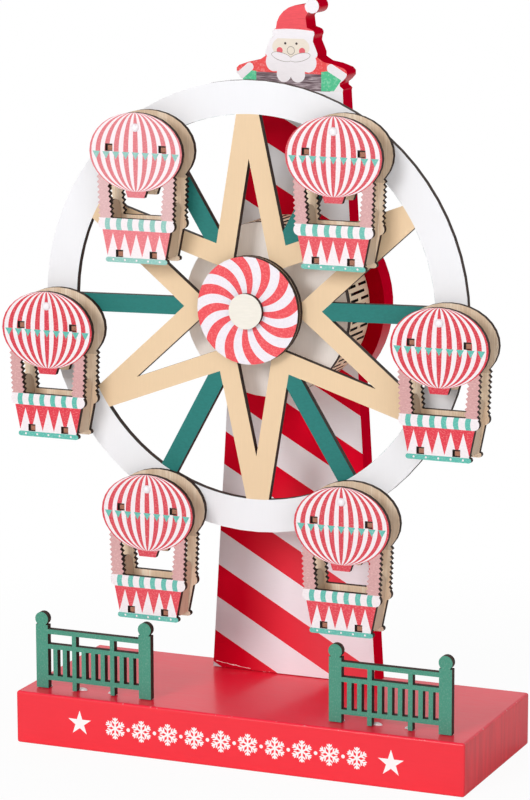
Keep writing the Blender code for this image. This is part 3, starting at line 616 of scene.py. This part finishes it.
def swirlPrint(f, bare):
    dx, dz = f.x, f.z - wheel["axisZ"]
    start = hub["armStart"] * hub["radius"]
    out = f.math("MAXIMUM", (f.reach(dx, dz) - start) / (hub["radius"] - start), 0)
    swirl = math.radians(hub["armTurn"]) + out * out * math.radians(hub["swirl"])
    beside = f.fromNearest(f.math("ARCTAN2", dz, dx) - swirl, math.tau / hub["arms"])
    arm = beside < math.radians(hub["armHalf"]) + out * math.radians(hub["armGrowth"])
    return speckle(f, f.layer(hub["white"], arm, hub["red"]), 0.13, (1, 1, 1), 1.7)


def creamPrint(f, bare):
    return speckle(f, hub["cream"], 0.06, (0.2, 1, 1), 1.5)


dress(["hub_disc_front"], boardFinish("candySwirl", swirlPrint, "x", 0.5, 3.0))
dress(["hub_disc_rear"], boardFinish("hubSheet", lambda f, bare: bare, "x", 0.6, 5.0))
dress(["hub_cap"], boardFinish("capSheet", creamPrint, "x", 0.5, 8.0))
print("wheel and hub done")


# Gondolas

gondola = {
    "count": 6, "pinRadius": 86.35,
    "red": rgb(209, 52, 68),
    "basketRed": rgb(220, 55, 71),
    "white": rgb(238, 229, 232),
    "mint": rgb(90, 182, 168),
    "rope": rgb(206, 156, 155),
    "faded": rgb(252, 236, 240),
    "fade": [0.0, 0.05, 0.19, 0.0, 0.03, 0.02],           # how far each gondola's print has paled
    "side": rgb(214, 188, 164),
    "backPale": rgb(242, 226, 206), "postPaintedLight": 1.3,      # the back plate, and the painted light on its posts
    "tab": rgb(176, 118, 94), "tabShadow": rgb(40, 26, 20),
    # the second pair sizes the dark band for the charred slot wall and the painted shadow band at the top
    "tabHalf": (1.35, 1.2), "tabShadowAndChar": (0.5, 0.45),       # mm across and up
    "tabs": {"shelf": (11.9, -8.4), "floor": (7.6, -51.79)},     # middles of the tabs, from the pin
}
# the front plate's print, in mm from the pin, from the top down
balloon = {
    "halfWidth": 20.7, "halfHeight": 16.1, "middle": -10.0, "foot": -21.0,
    "roundness": 0.5, "pitch": 0.2, "stripe": 0.26,       # the stripes close up towards the sides
}
flags = {"pitch": 4.4, "half": 1.65, "top": -10.1, "tip": -13.2, "reach": 19.4}
neck = {"half": 6.0, "foot": -30.0}
awning = {"top": -37.39, "middle": -39.8, "half": 2.6, "bow": 0.6,
          "first": -12.4, "pitch": 5.04, "stripe": 1.1, "reach": 14.4}
basket = {"top": -42.19, "tips": -43.4, "pitch": 5.23, "toothHeight": 9.5}
strip = {"top": -53.38, "middle": -54.4, "pitch": 5.2, "dot": 0.42, "reach": 12.0}


def gondolaSpot(k):
    angle = math.radians(wheel["turn"]) + math.tau * k / gondola["count"]
    return gondola["pinRadius"] * math.cos(angle), wheel["axisZ"] + gondola["pinRadius"] * math.sin(angle)


def balloonColours(f, u, v):
    height = (v - balloon["middle"]) / balloon["halfHeight"]
    inside = (u / balloon["halfWidth"]) ** 2 + height ** 2 < 1
    girth = f.math("MAXIMUM", 1 - height * height, 0.0001) ** 0.5
    bulge = f.math("ARCSINE", u / (girth * balloon["halfWidth"]) * balloon["roundness"])
    bulge = bulge / math.asin(balloon["roundness"])
    stripe = f.fromNearest(bulge / balloon["pitch"], 1) < balloon["stripe"]
    flagHalf = flags["half"] * (v - flags["tip"]) / (flags["top"] - flags["tip"])
    flag = f.fromNearest(u, flags["pitch"]) < flagHalf
    flag = flag & (v < flags["top"]) & (abs(u) < flags["reach"])
    colour = f.layer(gondola["white"], stripe, gondola["red"])
    colour = f.layer(colour, flag, gondola["mint"])
    ropes = f.layer(gondola["rope"], (abs(u) < neck["half"]) & (v > neck["foot"]), gondola["red"])
    return f.layer(ropes, inside, colour)


def awningColours(f, u, v):
    bow = u + awning["bow"] * (1 - ((v - awning["middle"]) / awning["half"]) ** 2)
    stripe = f.fromNearest(bow - awning["first"], awning["pitch"]) < awning["stripe"]
    return f.layer(gondola["white"], stripe & (abs(bow) < awning["reach"]), gondola["mint"])


def basketColours(f, u, v):
    # white teeth that rise into the red, over a mint strip with white dots
    tooth = f.fromNearest(u, basket["pitch"]) * (basket["toothHeight"] / (basket["pitch"] / 2))
    teeth = f.layer(gondola["basketRed"], v < basket["tips"] - tooth, gondola["white"])
    dot = f.reach(f.fromNearest(u, strip["pitch"]), v - strip["middle"]) < strip["dot"]
    dots = f.layer(gondola["mint"], dot & (abs(u) < strip["reach"]), gondola["white"])
    return f.layer(teeth, v < strip["top"], dots)


def balloonPrint(pinX, pinZ, fade):
    def printed(f, bare):
        u, v = f.x - pinX, f.z - pinZ
        colour = balloonColours(f, u, v)
        colour = f.layer(colour, v < awning["top"], awningColours(f, u, v))
        colour = f.layer(colour, v < basket["top"], basketColours(f, u, v))
        return f.layer(speckle(f, colour, 0.17, (0.6, 1, 1), 1.9), fade, gondola["faded"])
    return printed


def backPrint(pinZ):
    # the back plate is bare; its posts are painted lighter than its balloon part, as painted light
    def printed(f, bare):
        return f.layer(bare, f.z - pinZ < balloon["foot"], f.shade(bare, gondola["postPaintedLight"]))
    return printed


def panelFinish(name, axis, shift, pinX=0, pinZ=0, tabs=None):
    # a small loose panel, bare on its two broad faces and charred round its edges
    f = Finish(name, roughness=0.6)
    bare, fibres = bareWood(f, "y" if axis == "z" else "z", gondola["side"], shift)
    facing = f.facingZ if axis == "z" else f.facingX
    colour = f.layer(burntEdge(f, shift), abs(facing) > 0.5, bare)
    if tabs:
        # the tabs' ends show in the front plate, with a painted shadow along their upper side and a dark band
        # on their inner side for the charred slot wall
        tab = f.ramp(f.noise(1.4, (1, 1, 3), 2.0), [(0.2, wood["scorched"]), (0.5, gondola["tab"])])
        u, v = f.x - pinX, f.z - pinZ
        beside, level = u - tabs[0] * f.math("SIGN", u), v - tabs[1]
        (halfWidth, halfHeight), (charSide, shadowTop) = gondola["tabHalf"], gondola["tabShadowAndChar"]
        # painted shadow along the top, and a dark band for the charred slot wall on the inner side
        scorched = (beside < charSide - halfWidth) | (level > halfHeight - shadowTop)
        tab = f.layer(tab, scorched, gondola["tabShadow"])
        colour = f.layer(colour, f.facingY < -0.5, tab)
    f.feed("Base Color", colour)
    f.feed("Roughness", 0.55 + 0.15 * fibres)
    f.relief(fibres, wood["fibreDepth"], 0.35)
    return f.material


pin = {
    "head": 1.75 * mm, "dome": 1.3 * mm, "headBack": 1.61 * mm, "backDepth": 0.35 * mm,
    "shank": 1.1 * mm, "shankFrom": 0.45 * mm, "chamfer": 0.3 * mm,
    "steps": 32, "rings": 7, "weld": 0.002 * mm,
}


def pinPiece(k, material):
    # a white ball head on a plain shank, turned round the pin's own line
    name = f"gondola_{k + 1}_pin"
    low, high = corners(name)
    middle, length = (low + high) / 2, high.y - low.y
    dome, shank, chamfer = pin["dome"], pin["shank"], pin["chamfer"]
    profile = [(0, 0)]          # radius, and depth behind the head's front
    for step in range(1, pin["rings"] + 1):
        angle = math.radians(90 * step / pin["rings"])
        profile.append((pin["head"] * math.sin(angle), dome * (1 - math.cos(angle))))
    profile += [(pin["headBack"], dome + pin["backDepth"]), (shank, dome + pin["shankFrom"]),
                (shank, length - chamfer), (shank - chamfer, length), (0, length)]
    points = [(middle.x + radius, low.y + depth, middle.z) for radius, depth in profile]
    bm = spun(points, middle, pin["steps"])
    bmesh.ops.remove_doubles(bm, verts=bm.verts[:], dist=pin["weld"])
    bmesh.ops.recalc_face_normals(bm, faces=bm.faces[:])
    piece = gather(bm, f"pinHead{k + 1}", material, f"pin_{k + 1}", [name])
    smooth(piece, 40)


def pinPaint():
    f = Finish("pinPaint", roughness=0.35, coat=0.3, coatRoughness=0.2)
    dust = f.noise(1.5)
    f.feed("Base Color", f.ramp(dust, [(0.2, rgb(232, 228, 232)), (0.7, rgb(248, 246, 249))]))
    f.feed("Roughness", 0.3 + dust * 0.15)
    f.relief(dust, 0.02, 0.3)
    return f.material


whitePin = pinPaint()
for k in range(gondola["count"]):
    pinX, pinZ = gondolaSpot(k)
    prefix = f"gondola_{k + 1}_"
    printed = balloonPrint(pinX, pinZ, gondola["fade"][k])
    dress([prefix + "front"], boardFinish(f"balloonPrint{k + 1}", printed, "z", 0.55, k))
    behind = boardFinish(f"balloonBack{k + 1}", backPrint(pinZ), "z", 0.62, k + 10, gondola["backPale"])
    dress([prefix + "back"], behind)
    for panel, tabs in gondola["tabs"].items():
        flat = panelFinish(f"gondola{panel.capitalize()}{k + 1}", "z", k * 3, pinX, pinZ, tabs)
        dress([prefix + panel], flat)
    upright = panelFinish(f"gondolaSide{k + 1}", "x", k * 5)
    dress([prefix + "side_left", prefix + "side_right"], upright)
    pinPiece(k, whitePin)
print("gondolas done")


# Drum, with its wall of kerf-cut plywood

drum = {
    "axisZ": 184.532 * mm,
    "rows": 78, "stepsPerRow": 5, "slitSteps": (2, 3), "thickness": 2.35 * mm,
    "bands": [0.0, 0.03, 0.09, 0.42, 0.57, 0.8, 0.97, 1.0],   # across the wall, front to back
    "single": [(0.09, 0.8)],                                  # rows with one slit take turns
    "double": [(0.03, 0.42), (0.57, 0.97)],                   # with rows of two
    "face": rgb(250, 245, 240),
    # the wall's plywood is brightened as painted light, since its side gets less light
    "wallPale": rgb(232, 218, 192), "wallPaintedLight": 1.5,
}


def kerfWall(material):
    low, high = corners("drum_wall")
    radius = (high.x - low.x) / 2
    depth = high.y - low.y
    steps = drum["rows"] * drum["stepsPerRow"]
    points = [(radius, low.y + depth * share, drum["axisZ"]) for share in drum["bands"]]
    bm = spun(points, (0, 0, drum["axisZ"]), steps)
    slits = []
    for face in bm.faces:
        middle = face.calc_center_median()
        turn = math.atan2(middle.z - drum["axisZ"], middle.x) % math.tau
        row, place = divmod(int(turn / math.tau * steps), drum["stepsPerRow"])
        share = (middle.y - low.y) / depth
        cuts = drum["double"] if row % 2 else drum["single"]
        if place in drum["slitSteps"] and any(start < share < end for start, end in cuts):
            slits.append(face)
    bmesh.ops.delete(bm, geom=slits, context="FACES")
    bmesh.ops.recalc_face_normals(bm, faces=bm.faces[:])
    # an open band's faces may come out turned inwards
    outward = bm.faces[0].calc_center_median() - Vector((0, 0, drum["axisZ"]))
    if bm.faces[0].normal.dot(Vector((outward.x, 0, outward.z))) < 0:
        bmesh.ops.reverse_faces(bm, faces=bm.faces[:])
    piece = gather(bm, "kerfWall", material, "frame", ["drum_wall"])
    shell = piece.modifiers.new("wallThickness", "SOLIDIFY")
    shell.thickness = drum["thickness"]
    shell.offset = -1


def kerfPaint():
    # bare outside and inside, brightened as painted light, charred in the slits
    f = Finish("kerfPlywood", roughness=0.6)
    dz = f.z - drum["axisZ"] / mm
    bare, fibres = bareWood(f, "y", drum["wallPale"], 4.0)
    outward = (f.x * f.facingX + dz * f.facingZ) / f.reach(f.x, dz)
    colour = f.layer(wood["burnt"], abs(outward) > 0.9, f.shade(bare, drum["wallPaintedLight"]))
    f.feed("Base Color", colour)
    f.feed("Roughness", 0.55 + 0.15 * fibres)
    f.relief(fibres, wood["fibreDepth"], 0.4)
    return f.material


kerfWall(kerfPaint())


def drumPrint(f, bare):
    return speckle(f, drum["face"], 0.07, (1, 1, 0.1), 2.0)


dress(["drum_front"], boardFinish("drumSheet", drumPrint, "z", 0.5, 6.0))
print("drum done")


# Fences

fence = {
    "green": rgb(72, 144, 122),
    "glue": rgb(236, 236, 238), "glueShade": rgb(214, 206, 206),
    "feet": [0.07, 0.37, 0.63, 0.93],              # along the fence, as shares of its length
    "blob": 1.7 * mm,
    "blobShape": (1.25, 0.75, 0.62), "blobVaries": (0.2, 0.08),      # no two blobs are quite alike
    "blobBehind": 0.7 * mm, "blobSunk": 0.28 * mm,
}


def fencePrint(f, bare):
    cloud = f.noise(0.12)
    return speckle(f, f.shade(fence["green"], 0.94 + 0.12 * cloud), 0.07, (1, 1, 0.6), 1.9)


dress(["fence_left", "fence_right"], boardFinish("fencePrint", fencePrint, "x", 0.6, 12.0))


def gluePaint():
    f = Finish("hotGlue", roughness=0.25, coat=0.4, coatRoughness=0.15)
    haze = f.noise(0.8)
    f.feed("Base Color", f.ramp(haze, [(0.3, fence["glueShade"]), (0.7, fence["glue"])]))
    f.feed("Roughness", 0.2 + 0.2 * haze)
    f.relief(haze, 0.05, 0.4)
    return f.material


glueFinish = gluePaint()
for name in ("fence_left", "fence_right"):
    low, high = corners(name)
    bm = bmesh.new()
    for k, share in enumerate(fence["feet"]):
        wide, thick, tall = fence["blobShape"]
        wide += fence["blobVaries"][0] * math.sin(k * 2.1)
        tall += fence["blobVaries"][1] * math.cos(k * 1.7)
        blob = bmesh.ops.create_icosphere(bm, subdivisions=3, radius=fence["blob"])["verts"]
        bmesh.ops.scale(bm, vec=(wide, thick, tall), verts=blob)
        for vert in blob:
            vert.co.z = max(vert.co.z, 0.0)          # flat where it lies on the base
        place = (low.x + (high.x - low.x) * share, high.y + fence["blobBehind"], low.z - fence["blobSunk"])
        bmesh.ops.translate(bm, vec=place, verts=blob)
    blobs = gather(bm, "glue" + name.replace("fence_", "").capitalize(), glueFinish, "frame")
    smooth(blobs, 60)
print("fences done")


# Shaft and movement, inside the drum

metal = {
    "steel": (rgb(150, 152, 156), rgb(206, 208, 212), 0.28),       # dull, bright and roughness
    "brass": (rgb(176, 136, 66), rgb(226, 190, 112), 0.3),
    "spring": (rgb(108, 110, 116), rgb(164, 168, 174), 0.35),
}


def metalFinish(name, kind, stretch):
    dull, bright, roughness = metal[kind]
    f = Finish(name, roughness=roughness, metallic=1.0)
    brushed = f.noise(3.5, stretch)
    stain = f.noise(0.12)
    f.feed("Base Color", f.ramp(brushed * 0.5 + stain * 0.5, [(0.3, dull), (0.7, bright)]))
    f.feed("Roughness", roughness + 0.25 * stain)
    f.relief(brushed, 0.02, 0.3)
    return f.material


dress(["winding_shaft"], metalFinish("turnedSteel", "steel", (1, 0.1, 1)))
dress(["movement_frame"], metalFinish("plateBrass", "brass", (0.1, 1, 1)))
dress(["spring_barrel"], metalFinish("barrelBrass", "brass", (1, 0.1, 1)))
dress(["music_cylinder"], metalFinish("cylinderBrass", "brass", (1, 1, 0.1)))
dress(["comb"], metalFinish("combSteel", "spring", (0.1, 1, 1)))
screwSteel = metalFinish("screwSteel", "steel", (1, 1, 1))
dress(["governor", "movement_screw_left", "movement_screw_right"], screwSteel)
print("movement done")


# Floor, light and camera

studio = {
    "floorSize": 6.0,
    "floorWhite": rgb(250, 250, 250),
    "floorNear": 0.94,        # the floor's white under the object, where 1 is white
    "fadeOut": 320.0,         # mm from the middle to where the floor is plain white
    "sky": 0.36,
    "aim": (0, 0, 0.15),
    "lamps": {
        "key": {"place": (-0.45, -1.95, 1.0), "size": 0.7, "power": 20.0, "mirrored": True},
        "fill": {"place": (1.0, -1.8, 0.5), "size": 1.6, "power": 13.0, "mirrored": True},
        "rear": {"place": (-1.3, 1.7, 1.1), "size": 1.6, "power": 12.0, "mirrored": False},
    },
}
white = (1, 1, 1, 1)


def floorPaper():
    # keeps the object's shadow, and fades to plain white away from it
    f = Finish("floorPaper", roughness=0.9)
    f.shader.inputs["Base Color"].default_value = studio["floorWhite"]
    glow = f.node("ShaderNodeEmission", {}, {"Color": white, "Strength": 1.0})
    rays = f.node("ShaderNodeLightPath")
    far = f.math("MINIMUM", (f.x ** 2 + f.y ** 2) / studio["fadeOut"] ** 2, 1)
    near = studio["floorNear"]
    seen = Signal(f, rays.outputs["Is Camera Ray"]) * (near + far * (1 - near))
    both = f.node("ShaderNodeMixShader", {}, {0: seen, 1: f.shader.outputs[0], 2: glow.outputs[0]})
    f.tree.links.new(both.outputs[0], f.tree.nodes["Material Output"].inputs[0])
    return f.material


bm = bmesh.new()
bmesh.ops.create_grid(bm, x_segments=2, y_segments=2, size=studio["floorSize"])
mesh = bpy.data.meshes.new("floor")
bm.to_mesh(mesh)
bm.free()
mesh.materials.append(floorPaper())
floor = bpy.data.objects.new("floor", mesh)
bpy.context.scene.collection.objects.link(floor)

# the sky lights the object softly, and shows as plain white to the camera and in gloss
world = bpy.data.worlds.new("studioWhite")
bpy.context.scene.world = world
world.use_nodes = True
sky = world.node_tree
sky.nodes.clear()
rays = sky.nodes.new("ShaderNodeLightPath")
shown = sky.nodes.new("ShaderNodeMath")
shown.operation = "MAXIMUM"
blend = sky.nodes.new("ShaderNodeMixShader")
out = sky.nodes.new("ShaderNodeOutputWorld")
sky.links.new(rays.outputs["Is Camera Ray"], shown.inputs[0])
sky.links.new(rays.outputs["Is Glossy Ray"], shown.inputs[1])
sky.links.new(shown.outputs[0], blend.inputs[0])
for spot, strength in ((1, studio["sky"]), (2, 1.0)):
    backdrop = sky.nodes.new("ShaderNodeBackground")
    backdrop.inputs["Color"].default_value = white
    backdrop.inputs["Strength"].default_value = strength
    sky.links.new(backdrop.outputs[0], blend.inputs[spot])
sky.links.new(blend.outputs[0], out.inputs[0])

for name, lamp in studio["lamps"].items():
    light = bpy.data.lights.new(name, "AREA")
    light.size = lamp["size"]
    light.energy = lamp["power"]
    holder = bpy.data.objects.new(name, light)
    bpy.context.scene.collection.objects.link(holder)
    holder.location = lamp["place"]
    holder.visible_glossy = lamp["mirrored"]
    aim = Vector(studio["aim"]) - holder.location
    holder.rotation_euler = aim.to_track_quat("-Z", "Y").to_euler()

view = {
    "azimuth": 23.052, "elevation": 11.151, "roll": -0.152,            # degrees
    "eye": (535.78 * mm, -1258.79 * mm, 416.66 * mm),
    "focal": 3376.17, "imageHeight": 800,                              # pixels
    "sensor": 36, "farthest": 20.0,                                    # mm, and metres
}
azimuth, elevation, roll = (math.radians(view[key]) for key in ("azimuth", "elevation", "roll"))
level = math.cos(elevation)
back = Vector((math.sin(azimuth) * level, -math.cos(azimuth) * level, math.sin(elevation)))
right = (-back).cross(Vector((0, 0, 1))).normalized()
up = right.cross(-back)
across = right * math.cos(roll) + up * math.sin(roll)
upward = up * math.cos(roll) - right * math.sin(roll)
lens = bpy.data.cameras.new("camera")
lens.sensor_fit = "VERTICAL"
lens.sensor_height = view["sensor"]
lens.lens = view["focal"] * lens.sensor_height / view["imageHeight"]
lens.clip_end = view["farthest"]
camera = bpy.data.objects.new("camera", lens)
bpy.context.scene.collection.objects.link(camera)
placed = Matrix((across, upward, back)).transposed().to_4x4()
placed.translation = Vector(view["eye"])
camera.matrix_world = placed
bpy.context.scene.camera = camera
bpy.context.scene.view_settings.view_transform = "Standard"

print("studio done")
